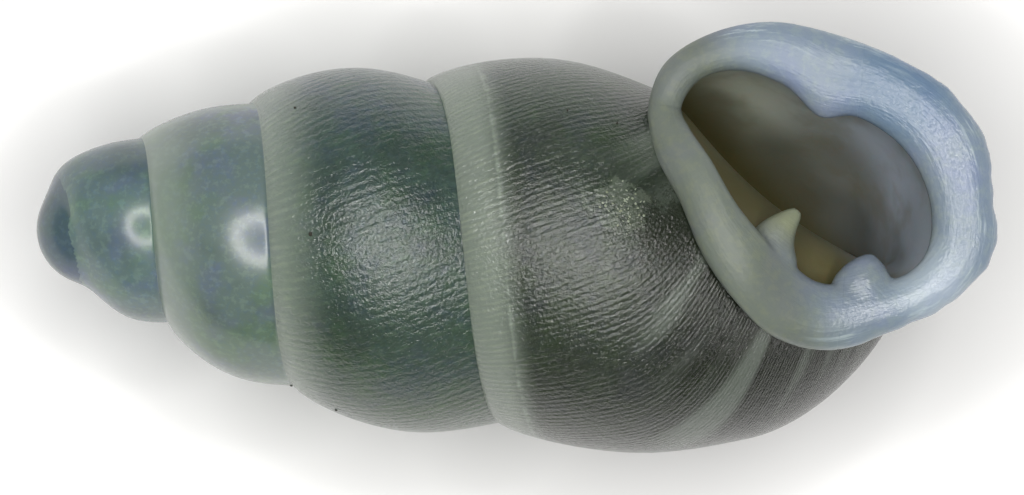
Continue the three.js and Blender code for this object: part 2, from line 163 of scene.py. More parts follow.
# Lights: the ring's width as a share of its height, and the soft panel's height as a share
# of the ring's, with a pinhole in its middle.
RING_WIDTH = 0.10
PANEL_HEIGHT = 1.1
PANEL_HOLE = 0.0001


def smooth_step(edge0, edge1, x):
    """Smooth rise from 0 to 1 between two edges."""
    t = np.clip((np.asarray(x, float) - edge0) / (edge1 - edge0), 0, 1)
    return t * t * (3 - 2 * t)


def hermite(f, a, m0, b, m1):
    """Cubic from a to b, with slopes m0 and m1, at share f."""
    f2, f3 = f * f, f * f * f
    return (2 * f3 - 3 * f2 + 1) * a + (f3 - 2 * f2 + f) * m0 + (3 * f2 - 2 * f3) * b + (f3 - f2) * m1


def table(values, s):
    """Smooth value of a half-turn table at whorl s."""
    v = np.array(values, float)
    p = np.clip(np.asarray(s, float) * 2, 0, len(v) - 1)
    i = np.minimum(p.astype(int), len(v) - 2)
    a, b = v[i], v[i + 1]
    before = np.where(i > 0, v[np.maximum(i - 1, 0)], 2 * a - b)
    after = np.where(i + 2 < len(v), v[np.minimum(i + 2, len(v) - 1)], 2 * b - a)
    return hermite(p - i, a, (b - before) / 2, b, (after - a) / 2)


def side(s, u):
    """x and r of the exposed side of whorl s, from its suture (u = 0) to the next (u = 1)."""
    u = np.asarray(u, float)
    x0, r0 = table(SUTURE_X, s), table(SUTURE_R, s)
    x1, r1 = table(SUTURE_X, s + 1), table(SUTURE_R, s + 1)
    length = np.hypot(x1 - x0, r1 - r0)
    arch = np.clip(np.sin(np.pi * u), 0, 1) ** np.where(u < 0.5, SHOULDER_POWER, 1)
    h = table(BULGE, s) * arch
    return x0 + (x1 - x0) * u - h * (r1 - r0) / length, r0 + (r1 - r0) * u + h * (x1 - x0) / length


def base(s, w, is_body):
    """x and r of the base of whorl s, from the next suture (w = 0) to the columella (w = 1)."""
    w = np.asarray(w, float)
    x0, r0 = side(s, 1.0)
    xb, rb = side(s, 0.96)
    slope = (r0 - rb) / (x0 - xb)
    whorl = x0 - table(SUTURE_X, s)
    open_share = smooth_step(*COLUMELLA_TURNS, s) if is_body else 0.0
    end_x = BODY_BASE_X if is_body else x0 + SPIRE_BASE_REACH * whorl
    lead = BASE_LEAD * whorl
    x1, r1 = x0 + lead, r0 + lead * slope
    in_x = x0 + BASE_DIP * whorl
    x2 = in_x + (OPEN_BASE_X - in_x) * open_share
    r2 = PILLAR_R * PILLAR_DIP + OPEN_BASE_R * open_share
    k = [(1 - w) ** 3, 3 * w * (1 - w) ** 2, 3 * w * w * (1 - w), w**3]
    x = k[0] * x0 + k[1] * x1 + k[2] * x2 + k[3] * end_x
    r = k[0] * r0 + k[1] * r1 + k[2] * r2 + k[3] * PILLAR_R
    return x, r


def unrolled(x, r, s):
    """Points laid out flat as x, distance from the axis and whorl, to be wound up later."""
    return np.stack([x, r, np.full_like(x, s)], -1)


def around(x, r, s):
    """Points at the azimuth of whorl s; growth turns from +Y towards +Z."""
    t = TURN * (s - MOUTH_WHORL)
    return np.stack([x, r * np.cos(t), r * np.sin(t)], -1)


def loop_curve(points, t):
    """Points of a closed centripetal Catmull-Rom curve at shares t of its knots."""
    p = np.array(points, float)
    n = len(p)
    at = (np.asarray(t, float) % 1) * n
    i = at.astype(int) % n
    f = (at - np.floor(at))[:, None]
    a, b, c, d = p[(i - 1) % n], p[i], p[(i + 1) % n], p[(i + 2) % n]
    gaps = [np.sqrt(np.linalg.norm(q - o, axis=1))[:, None] for o, q in ((a, b), (b, c), (c, d))]
    m1 = ((b - a) / gaps[0] - (c - a) / (gaps[0] + gaps[1]) + (c - b) / gaps[1]) * gaps[1]
    m2 = ((c - b) / gaps[1] - (d - b) / (gaps[1] + gaps[2]) + (d - c) / gaps[2]) * gaps[1]
    return hermite(f, b, m1, c, m2)


def outer_edge(t):
    """Points of the lip's outer edge."""
    return loop_curve([(p[0], p[1], p[4]) for p in LIP], t)


def inner_edge(t):
    """Points of the lip's inner edge."""
    return loop_curve([(p[2], p[3], p[4]) for p in LIP], t)


def read(items, name, width=1, kind=float):
    """One property of all of a mesh's vertices, loops or faces."""
    values = np.empty(len(items) * width, kind)
    items.foreach_get(name, values)
    return values.reshape(-1, width) if width > 1 else values


def write_uv(mesh, name, *values):
    """Adds a UV map of two values for each loop."""
    layer = mesh.uv_layers.new(name=name)
    layer.data.foreach_set("uv", np.stack(values, -1).astype(np.float32).ravel())


def linked(name, data):
    """A new object with this data, linked to the scene."""
    obj = bpy.data.objects.new(name, data)
    bpy.context.scene.collection.objects.link(obj)
    return obj


def flat_object(name, points, faces, material):
    """An open flat mesh, linked to the scene."""
    mesh = bpy.data.meshes.new(name)
    mesh.from_pydata(points, [], faces)
    mesh.materials.append(material)
    return linked(name, mesh)


def new_object(name, points, faces, materials=(), index=0):
    """A closed mesh with its faces outward, linked to the scene."""
    mesh = bpy.data.meshes.new(name)
    mesh.from_pydata([tuple(map(float, p)) for p in points], [], [tuple(map(int, f)) for f in faces])
    for material in materials:
        mesh.materials.append(material)
    mesh.polygons.foreach_set("material_index", [index] * len(mesh.polygons))
    obj = linked(name, mesh)
    mesh.validate()
    return face_outward(obj)


def face_outward(obj):
    """Turns the faces of a closed mesh outward."""
    mesh = obj.data
    mesh.calc_loop_triangles()
    tri = read(mesh.loop_triangles, "vertices", 3, int)
    p = read(mesh.vertices, "co", 3)
    volume = np.einsum("ij,ij->i", p[tri[:, 0]], np.cross(p[tri[:, 1]], p[tri[:, 2]])).sum() / 6
    if volume < 0:
        mesh.flip_normals()
    return obj


def evaluated(obj):
    """Replaces obj's mesh by the result of its modifiers."""
    depsgraph = bpy.context.evaluated_depsgraph_get()
    mesh = bpy.data.meshes.new_from_object(obj.evaluated_get(depsgraph))
    obj.modifiers.clear()
    old = obj.data
    obj.data = mesh
    bpy.data.meshes.remove(old)
    return obj


def geometry_tree(name, sizes):
    """An empty geometry tree with named inputs, with its node adder and its given sockets."""
    tree = bpy.data.node_groups.new(name, "GeometryNodeTree")
    tree.interface.new_socket("Geometry", in_out="INPUT", socket_type="NodeSocketGeometry")
    for label, (kind, value) in sizes.items():
        socket = tree.interface.new_socket(label, in_out="INPUT", socket_type=f"NodeSocket{kind}")
        if value is not None:
            socket.default_value = value
    tree.interface.new_socket("Geometry", in_out="OUTPUT", socket_type="NodeSocketGeometry")
    n = Nodes(tree)
    return tree, n, n.add("NodeGroupInput").node.outputs


def close_tree(n, geometry, material):
    """Ends a geometry tree in real, coloured faces."""
    real = n.add("GeometryNodeRealizeInstances", {0: geometry})
    n.add("NodeGroupOutput", {0: n.add("GeometryNodeSetMaterial", {0: real, "Material": material})})


def run_tree(obj, tree, values):
    """Replaces obj's mesh by what the tree makes of it with these inputs."""
    modifier = obj.modifiers.new(tree.name, "NODES")
    modifier.node_group = tree
    for item in tree.interface.items_tree:
        if item.in_out == "INPUT" and item.name in values:
            modifier[item.identifier] = values[item.name]
    return evaluated(obj)


def coil_tree():
    """Winds a flat layout of x, distance from the axis and whorl round the axis."""
    if "wind_round_axis" in bpy.data.node_groups:
        return bpy.data.node_groups["wind_round_axis"]
    sizes = {"Mouth whorl": ("Float", MOUTH_WHORL), "Material": ("Material", None)}
    tree, n, given = geometry_tree("wind_round_axis", sizes)
    x, r, s = n.split(n.add("GeometryNodeInputPosition"))
    angle = n.times(n.maths("SUBTRACT", s, given["Mouth whorl"]), TURN)
    y = n.times(r, n.maths("COSINE", angle))
    z = n.times(r, n.maths("SINE", angle))
    wound = n.add("GeometryNodeSetPosition", {"Geometry": given["Geometry"], "Position": n.join(x, y, z)})
    close_tree(n, wound, given["Material"])
    return tree


def lip_tree():
    """Carries an oval section round between the lip's edges, with fine ridges outside."""
    sizes = {
        "Half height": ("Float", LIP_HALF_HEIGHT),
        "Ridge height": ("Float", 0.022),
        "Ridges per mm": ("Float", 16.0),
        "Seed": ("Float", 3.0),
        "Material": ("Material", None),
    }
    tree, n, given = geometry_tree("carry_round_lip", sizes)
    outer = n.add("GeometryNodeInputNamedAttribute", {"Name": "outer"}, data_type="FLOAT_VECTOR")
    inner = n.add("GeometryNodeInputNamedAttribute", {"Name": "inner"}, data_type="FLOAT_VECTOR")
    turn = n.add("GeometryNodeInputNamedAttribute", {"Name": "turn"}, data_type="FLOAT")
    reach = n.maths("COSINE", turn)
    share = n.maths("MULTIPLY_ADD", reach, 0.5, 0.5)
    level = n.add("ShaderNodeMix", {0: share, 4: inner, 5: outer}, out=1, data_type="VECTOR")
    inputs = {"Vector": level, "W": given["Seed"], "Scale": given["Ridges per mm"], "Detail": 2.0}
    uneven = n.maths("SUBTRACT", n.add("ShaderNodeTexNoise", inputs, noise_dimensions="4D"), 0.5)
    edge = n.times(n.span(reach, 0.0, 0.8), n.span(n.split(level)[0], 1.55, 1.80))
    push = n.times(n.times(uneven, edge), given["Ridge height"])
    away = n.vector("NORMALIZE", n.vector("SUBTRACT", outer, inner))
    lift = n.join(0.0, 0.0, n.times(n.maths("SINE", turn), given["Half height"]))
    pushed = n.vector("ADD", level, n.scaled(away, push))
    carried = {"Geometry": given["Geometry"], "Position": n.vector("ADD", pushed, lift)}
    close_tree(n, n.add("GeometryNodeSetPosition", carried), given["Material"])
    return tree


def grain_tree():
    """Strews grains over a surface, thickest round one place."""
    sizes = {
        "Centre": ("Vector", None),
        "Radius": ("Float", 0.06),
        "Grains per mm2": ("Float", 14000.0),
        "Strays per mm2": ("Float", 0.0),
        "Grain size": ("Float", 0.0022),
        "Seed": ("Int", 5),
        "Material": ("Material", None),
    }
    tree, n, given = geometry_tree("strew_grains", sizes)
    far = n.distance(n.add("GeometryNodeInputPosition"), given["Centre"])
    near = n.span(n.maths("DIVIDE", far, given["Radius"]), 0.2, 1.0, 1.0, 0.0)
    density = n.maths("MULTIPLY_ADD", near, given["Grains per mm2"], given["Strays per mm2"])
    outside = n.maths("SUBTRACT", 1.0, n.add("GeometryNodeInputMaterialIndex"))
    density = n.times(density, outside)
    spread = n.add(
        "GeometryNodeDistributePointsOnFaces",
        {"Mesh": given["Geometry"], "Density": density, "Seed": given["Seed"]},
    ).node
    size = n.add(
        "FunctionNodeRandomValue",
        {0: (0.4, 0.4, 0.3), 1: (1.4, 1.4, 0.9), "Seed": given["Seed"]},
        data_type="FLOAT_VECTOR",
    )
    grain = n.add("GeometryNodeMeshIcoSphere", {"Radius": given["Grain size"], "Subdivisions": 2})
    placed = n.add(
        "GeometryNodeInstanceOnPoints",
        {
            "Points": spread.outputs["Points"],
            "Instance": grain,
            "Rotation": spread.outputs["Rotation"],
            "Scale": size,
        },
    )
    close_tree(n, placed, given["Material"])
    return tree


def wind(obj, material):
    """Winds a flat layout round the axis and turns its faces outward."""
    return face_outward(run_tree(obj, coil_tree(), {"Material": material}))


def combine(target, tool, operation):
    """Joins or cuts target with tool, and removes the tool."""
    cut = target.modifiers.new(operation.lower(), "BOOLEAN")
    cut.operation = operation
    cut.solver = "MANIFOLD"
    cut.object = tool
    count = len(target.data.polygons)
    evaluated(target)
    if len(target.data.polygons) == count:
        raise RuntimeError(f"{operation.lower()} of {tool.name} changed nothing")
    bpy.data.objects.remove(tool)
    return target


def band_places(count):
    """Places between two sutures, closer together near each."""
    return (1 - np.cos(np.pi * np.arange(count + 1) / count)) / 2


def envelope(name, detail, end, is_body, swell, materials, index=0):
    """Filled outline of all whorls up to end, swollen outward by swell."""
    turn, band, low = detail
    points, faces, rows = [], [], []
    first = round(end * turn)
    u = band_places(band)
    w = np.arange(1, low + 1) / low
    tip_x = BODY_TIP_X if is_body else SPIRE_TIP_X
    points += [(tip_x + swell, 0, 0), (APEX_X - swell, 0, 0)]
    for i in range(first + 1):
        s = i / turn + (swell * 0.5 if i == first else 0)
        x, r = side(s, u)
        line = unrolled(x, r + swell, s)
        shared = i + turn <= first
        ids = list(range(len(points), len(points) + band + (0 if shared else 1)))
        points += list(line[:band] if shared else line)
        if shared:
            ids.append(-1)
        if i >= first - turn:
            x, r = base(s, w, is_body)
            ids += range(len(points), len(points) + low)
            points += list(unrolled(x, r + swell, s))
            ids.append(0)
        rows.append(ids)
    for i in range(first - turn + 1):
        rows[i][band] = rows[i + turn][0]
    if is_body:
        rows[first][band + low] = rows[first - turn][band + low]
    for p, q in zip(rows, rows[1:]):
        for j in range(min(len(p), len(q)) - 1):
            corners = [p[j], q[j], q[j + 1], p[j + 1]]
            faces.append(list(dict.fromkeys(corners)))
    faces += [(1, rows[i + 1][0], rows[i][0]) for i in range(turn)]
    faces += [(1, rows[0][j], rows[0][j + 1]) for j in range(band)]
    inner = rows[first - turn][band + 1 : -1][::-1]
    rim = rows[first][:-1] + inner[1:] if is_body else rows[first] + inner
    faces.append(rim[::-1])
    return wind(new_object(name, points, faces, materials, index), materials[index])


def outline(s, is_body, insets):
    """Edges around the tube of whorl s, each with its inset: outer side, base, axis, inner side."""

    def chain(count, at, inset):
        """Adds edges between points evenly spaced along one side."""
        x, r = at(np.arange(count + 1) / count)
        rows.extend(((x[j], r[j]), (x[j + 1], r[j + 1]), inset) for j in range(count))

    rows = []
    chain(16, lambda u: side(s, u), insets[0])
    chain(10, lambda w: base(s, w, is_body), insets[0])
    low, high = base(s, 1.0, is_body), base(s - 1, 1.0, False)
    chain(1, lambda w: (low[0] + (high[0] - low[0]) * w, 0 * w + PILLAR_R), insets[1])
    chain(10, lambda w: base(s - 1, 1 - w, False), insets[2])
    return rows


def tube_loop(s, is_body, insets, angles):
    """x and r of a closed rounded loop inside the outline, with one point per angle."""
    rows = outline(s, is_body, insets)
    x0, end_x = table(SUTURE_X, s), base(s, 1.0, is_body)[0]
    centre = np.array([x0 + 0.5 * (end_x - x0), 0.54 * side(s, 0.5)[1]])
    d = np.stack([np.cos(angles), np.sin(angles)], -1)
    reach = np.full(len(angles), np.inf)
    for a, b, inset in rows:
        a, b = np.array(a), np.array(b)
        length = np.linalg.norm(b - a)
        if length < 1e-6:
            continue
        t = (b - a) / length
        n = np.array([t[1], -t[0]])
        if (centre - a) @ n < 0:
            n = -n
        p = a + n * inset - centre
        det = d[:, 0] * t[1] - d[:, 1] * t[0]
        det = np.where(np.abs(det) < 1e-9, 1e-9, det)
        along = (p[0] * t[1] - p[1] * t[0]) / det
        across = (p[0] * d[:, 1] - p[1] * d[:, 0]) / det
        slack = max(abs(inset), CORNER_SLACK)
        hit = (along > 0) & (across > -slack) & (across < length + slack)
        reach = np.where(hit, np.minimum(reach, along), reach)
    reach = np.where(np.isfinite(reach), reach, np.minimum(np.roll(reach, 1), np.roll(reach, -1)))
    radii = reach.copy()
    for _ in range(6):
        radii = np.minimum(reach, (np.roll(radii, 1) + 2 * radii + np.roll(radii, -1)) / 4)
    return centre[0] + radii * d[:, 0], centre[1] + radii * d[:, 1]


def tube(name, loops, materials=(), index=0):
    """Closed tube through loops of 3-D points."""
    n = len(loops[0])
    points = [p for loop in loops for p in loop]
    faces = []
    for i in range(len(loops) - 1):
        for j in range(n):
            k = (j + 1) % n
            faces.append((i * n + j, (i + 1) * n + j, (i + 1) * n + k, i * n + k))
    last = (len(loops) - 1) * n
    for start, turned in ((0, False), (last, True)):
        points.append(np.mean(points[start : start + n], axis=0))
        middle = len(points) - 1
        for j in range(n):
            a, b = start + j, start + (j + 1) % n
            faces.append((middle, b, a) if turned else (middle, a, b))
    return new_object(name, points, faces, materials, index)


def hollow(name, start, end, is_body, insets, steps, count, materials, index):
    """The space inside the tube between two whorl counts."""
    angles = TURN * np.arange(count) / count
    turns = np.linspace(start, end, round((end - start) * steps) + 1)
    loops = [unrolled(*tube_loop(s, is_body, insets, angles), s) for s in turns]
    return wind(tube(name, loops, materials, index), materials[index])


def blend_to_lip(share_of_way, section, place, share):
    """Section of the tube moved towards the lip, at a share between its inner and outer edge."""
    mix = smooth_step(0, 1, share_of_way)
    edge = inner_edge(place) * (1 - share) + outer_edge(place) * share
    return section * (1 - mix) + edge * mix


def filled_flare(detail, steps, materials):
    """Filled end of the tube, starting flush on the envelope's own rows."""
    turn, band, low = detail
    inner = max(low // 2, 6)
    u = band_places(band)
    place = np.concatenate([
        LIP_BASE_SHARE * np.arange(band + low + 1) / (band + low),
        LIP_BASE_SHARE + (1 - LIP_BASE_SHARE) * np.arange(1, inner) / inner,
    ])
    loops = []
    for i in range(-1, steps + 1):
        f = max(i / steps, 0)
        s = FLARE_START - 1 / turn if i < 0 else FLARE_START + FLARE_SPAN * f
        x0, r0 = side(s, u)
        x1, r1 = base(s, np.arange(1, low + 1) / low, True)
        x2, r2 = base(s - 1, 1 - np.arange(1, inner) / inner, True)
        section = around(np.concatenate([x0, x1, x2]), np.concatenate([r0, r1, r2 * EMBED]), s)
        loops.append(blend_to_lip(f, section, place, 0.5))
    return tube("flare", loops, materials, 0)


def mouth_flare(steps, count, insets, materials):
    """Hollow of the tube's end, out through the lip."""
    place = np.arange(count) / count
    middle = (outer_edge(place) + inner_edge(place)) / 2
    angles = np.arctan2(middle[:, 1] - LIP_CENTRE[1], middle[:, 0] - LIP_CENTRE[0])
    loops = []
    for i in range(steps + 1):
        s = FLARE_START + FLARE_SPAN * i / steps
        section = around(*tube_loop(s, True, insets, angles), s)
        loops.append(blend_to_lip(i / steps, section, place, 0.12))
    loops.append(loops[-1] + np.array([0, 0, MOUTH_CLEARANCE]))
    return tube("mouth", loops, materials, 1)


def ball(name, centre, radius, materials, rings=48):
    """Closed sphere."""
    points, faces = [(0, 0, 1)], []
    count = rings * 2
    for i in range(1, rings):
        a = math.pi * i / rings
        for j in range(count):
            b = TURN * j / count
            points.append((math.sin(a) * math.cos(b), math.sin(a) * math.sin(b), math.cos(a)))
    points.append((0, 0, -1))
    for j in range(count):
        k = (j + 1) % count
        faces.append((0, 1 + j, 1 + k))
        for i in range(rings - 2):
            a = 1 + i * count
            faces.append((a + j, a + count + j, a + count + k, a + k))
        faces.append((len(points) - 1, 1 + (rings - 2) * count + k, 1 + (rings - 2) * count + j))
    place = Matrix.Translation(centre) @ Matrix.Diagonal((radius, radius, radius, 1))
    return new_object(name, [place @ Vector(p) for p in points], faces, materials)


def tooth(name, rows, steps=30, count=40):
    """Tapering tooth through oval sections upright across its own direction."""
    rows = np.array(rows)
    at = np.linspace(0, len(rows) - 1, steps)
    x, y, z, wide, deep = (np.interp(at, range(len(rows)), rows[:, k]) for k in range(5))
    along = (rows[-1] - rows[0])[:2] / np.linalg.norm((rows[-1] - rows[0])[:2])
    a = -TURN * np.arange(count) / count
    loops = []
    for i in range(steps):
        w = wide[i] * np.cos(a)
        loops.append(np.stack([x[i] - along[1] * w, y[i] + along[0] * w, z[i] + deep[i] * np.sin(a)], -1))
    return tube(name, loops)


def bead_points(steps, count):
    """Oval section of the lip carried round between its edges."""
    t = np.arange(steps) / steps
    out, inn = outer_edge(t), inner_edge(t)
    a = TURN * np.arange(count) / count
    middle, half = (out + inn) / 2, (out - inn) / 2
    rows = middle[:, None] + half[:, None] * np.cos(a)[None, :, None]
    rows[..., 2] += LIP_HALF_HEIGHT * np.sin(a)[None, :]
    return rows


def back(s):
    """Where the outline of whorl s is farthest from the axis."""
    x, r = side(s, np.linspace(0, 1, 81))
    return x[r.argmax()], r.max()


def laying():
    """Turn and move from the shell's own axis, in millimetres, to its place in the frame."""
    (x0, r0), (x1, r1) = back(RESTING_WHORLS[0]), back(RESTING_WHORLS[1])
    turn = Matrix.Rotation(-math.atan2(r1 - r0, x1 - x0), 4, "Y")
    rows = bead_points(*BEAD_SAMPLES).reshape(-1, 3)
    turned = np.array([turn @ Vector(p) for p in rows]) * MM
    low, high = (np.array(corner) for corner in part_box("peristome"))
    move = (low + high) / 2 - (turned.min(0) + turned.max(0)) / 2
    return Matrix.Translation(move) @ Matrix.Scale(MM, 4) @ turn


def lay_down(obj):
    """Puts a piece in its place in the frame, pressed flat where it meets the floor."""
    obj.data.transform(laying())
    p = read(obj.data.vertices, "co", 3)
    p[:, 2] = np.maximum(p[:, 2], 0)
    obj.data.vertices.foreach_set("co", p.ravel())
    obj.data.update()


def growth_maps(mesh):
    """Writes two UV maps in place on the coil: growth (line count, mm below the suture) and age."""
    corner = read(mesh.vertices, "co", 3)[read(mesh.loops, "vertex_index", kind=int)]
    start = read(mesh.polygons, "loop_start", kind=int)
    total = read(mesh.polygons, "loop_total", kind=int)
    face = np.repeat(np.arange(len(start)), total)
    centre = np.add.reduceat(corner, start, axis=0) / total[:, None]

    turn_of = np.arctan2(centre[:, 2], centre[:, 1]) / TURN
    s = np.full(len(centre), np.nan)
    for k in range(WHORLS + 1):
        candidate = MOUTH_WHORL + turn_of - k
        fits = np.isnan(s) & (candidate <= FLARE_START + FLARE_SPAN)
        fits &= (table(SUTURE_X, np.maximum(candidate, 0)) <= centre[:, 0]) | (candidate < 0.5)
        s = np.where(fits, candidate, s)
    s = np.nan_to_num(s, nan=0.0)
    shift = np.arctan2(corner[:, 2], corner[:, 1]) / TURN - turn_of[face]
    s_corner = np.maximum(s[face] + shift - np.round(shift), 0)
    below = corner[:, 0] - table(SUTURE_X, s_corner)

    grid = np.linspace(0, WHORLS, 100 * WHORLS + 1)
    spacing = LINE_SPACING[0] + (LINE_SPACING[1] - LINE_SPACING[0]) * smooth_step(*SPACING_TURNS, grid)
    rate = TURN * (table(SUTURE_R, grid) + table(BULGE, grid)) / spacing
    lines = np.concatenate([[0], np.cumsum((rate[1:] + rate[:-1]) / 2 * np.diff(grid))])
    swing = SWING * np.maximum(below - SWING_BELOW, 0) ** 2 * smooth_step(*SWING_TURNS, s_corner)
    slant = (below * LINE_SLANT + swing) / np.interp(s_corner, grid, spacing)
    write_uv(mesh, "growth", np.interp(s_corner, grid, lines) + slant, below)
    write_uv(mesh, "age", s_corner, 0 * s_corner)


def wear(shell, passes):
    """Softens the sutures, most at the apex and not at all on the last two whorls."""
    group = shell.vertex_groups.new(name="wear")
    x = read(shell.data.vertices, "co", 3)[:, 0]
    weights = 1 - 0.8 * smooth_step(*APEX_WEAR, x) - 0.2 * smooth_step(*SPIRE_WEAR, x)
    for i in np.nonzero(weights > 0.001)[0]:
        group.add([int(i)], float(weights[i]), "REPLACE")
    soften = shell.modifiers.new("wear", "SMOOTH")
    soften.factor = 0.5
    soften.iterations = passes
    soften.vertex_group = group.name
    evaluated(shell)


def lip_map(mesh):
    """Writes a UV map for the lip: mm around it, and place across it from -1 inside to 1 outside."""
    t = np.arange(720) / 720
    out, inn = outer_edge(t), inner_edge(t)
    middle, half = (out + inn) / 2, (out - inn) / 2
    gap = np.linalg.norm(np.roll(middle, -1, axis=0) - middle, axis=1)
    length = np.concatenate([[0], np.cumsum(gap)[:-1]])
    p = read(mesh.vertices, "co", 3)
    near = np.empty(len(p), int)
    for first in range(0, len(p), 2000):
        block = p[first : first + 2000, None, :2] - middle[None, :, :2]
        near[first : first + 2000] = (block**2).sum(-1).argmin(1)
    reach = half[near]
    across = ((p - middle[near]) * reach)[:, :2].sum(1) / (reach[:, :2] ** 2).sum(1)
    corner = read(mesh.loops, "vertex_index", kind=int)
    write_uv(mesh, "lip", length[near][corner], across[corner])


def colour(hex_code):
    """Linear RGBA of an sRGB hex code."""
    parts = [int(hex_code[i : i + 2], 16) / 255 for i in (1, 3, 5)]
    return (*[c / 12.92 if c <= 0.04045 else ((c + 0.055) / 1.055) ** 2.4 for c in parts], 1)


class Nodes:
    """Adds nodes to a tree: settings by name, inputs by name or number, links from sockets."""

    def __init__(self, tree):
        self.tree = tree
        tree.nodes.clear()

    def add(self, kind, inputs=None, out=0, **settings):
        """Adds a node and gives one of its outputs, or the node itself if it has none."""
        node = self.tree.nodes.new(kind)
        for name, value in settings.items():
            setattr(node, name, value)
        for name, value in (inputs or {}).items():
            if isinstance(value, bpy.types.NodeSocket):
                self.tree.links.new(value, node.inputs[name])
            else:
                node.inputs[name].default_value = value
        return node.outputs[out] if len(node.outputs) else node

    def maths(self, operation, *values):
        """Sum, product or other maths on numbers."""
        return self.add("ShaderNodeMath", dict(enumerate(values)), operation=operation)

    def times(self, a, b):
        """Product of two numbers."""
        return self.maths("MULTIPLY", a, b)

    def vector(self, operation, *values):
        """Maths on vectors."""
        return self.add("ShaderNodeVectorMath", dict(enumerate(values)), operation=operation)

    def ramp(self, value, stops):
        """Colour by value, from stops of place and hex code."""
        node = self.add("ShaderNodeValToRGB", {0: value}).node
        elements = node.color_ramp.elements
        elements.remove(elements[1])
        elements[0].position, elements[0].color = stops[0][0], colour(stops[0][1])
        for at, code in stops[1:]:
            elements.new(at).color = colour(code)
        return node.outputs[0]

    def distance(self, a, b):
        """Distance between two points."""
        return self.add("ShaderNodeVectorMath", {0: a, 1: b}, out=1, operation="DISTANCE")

    def scaled(self, vector, factor):
        """A vector made longer by a factor."""
        return self.add("ShaderNodeVectorMath", {0: vector, 3: factor}, operation="SCALE")

    def span(self, value, low, high, to_low=0.0, to_high=1.0):
        """Smooth change from one value to another while the input goes from low to high."""
        inputs = {0: value, 1: low, 2: high, 3: to_low, 4: to_high}
        return self.add("ShaderNodeMapRange", inputs, interpolation_type="SMOOTHSTEP")

    def blend(self, factor, a, b, mode="MIX"):
        """Colour between a and b."""
        inputs = {0: factor, 6: a, 7: b}
        return self.add("ShaderNodeMix", inputs, out=2, data_type="RGBA", blend_type=mode)

    def cast(self, share, tint, shade):
        """Colour multiplied by another, by a share."""
        return self.blend(share, tint, self.blend(1.0, tint, shade, "MULTIPLY"))

    def noise(self, vector, scale, detail=2.0, roughness=0.5):
        """Cloudy values about 0.5."""
        inputs = {"Vector": vector, "Scale": scale, "Detail": detail, "Roughness": roughness}
        return self.add("ShaderNodeTexNoise", inputs)

    def split(self, vector):
        """The three parts of a vector."""
        return self.add("ShaderNodeSeparateXYZ", {0: vector}).node.outputs

    def join(self, x, y, z=0.0):
        """A vector of three parts."""
        return self.add("ShaderNodeCombineXYZ", {0: x, 1: y, 2: z})

    def spot(self, place, centre, inner, outer, share):
        """Share that fades to nothing from one distance to another round a point, in millimetres."""
        return self.span(self.distance(place, centre), inner, outer, share, 0.0)

    def millimetres(self):
        """Place on the object in millimetres."""
        return self.scaled(self.add("ShaderNodeTexCoord", out=3), 1 / MM)

    def finish(self, inputs, kind="ShaderNodeBsdfPrincipled"):
        """Ends a material in one shader with these inputs."""
        self.add("ShaderNodeOutputMaterial", {"Surface": self.add(kind, inputs)})


def new_material(name):
    """An empty material and the adder of its nodes."""
    material = bpy.data.materials.new(name)
    material.use_nodes = True
    return material, Nodes(material.node_tree)


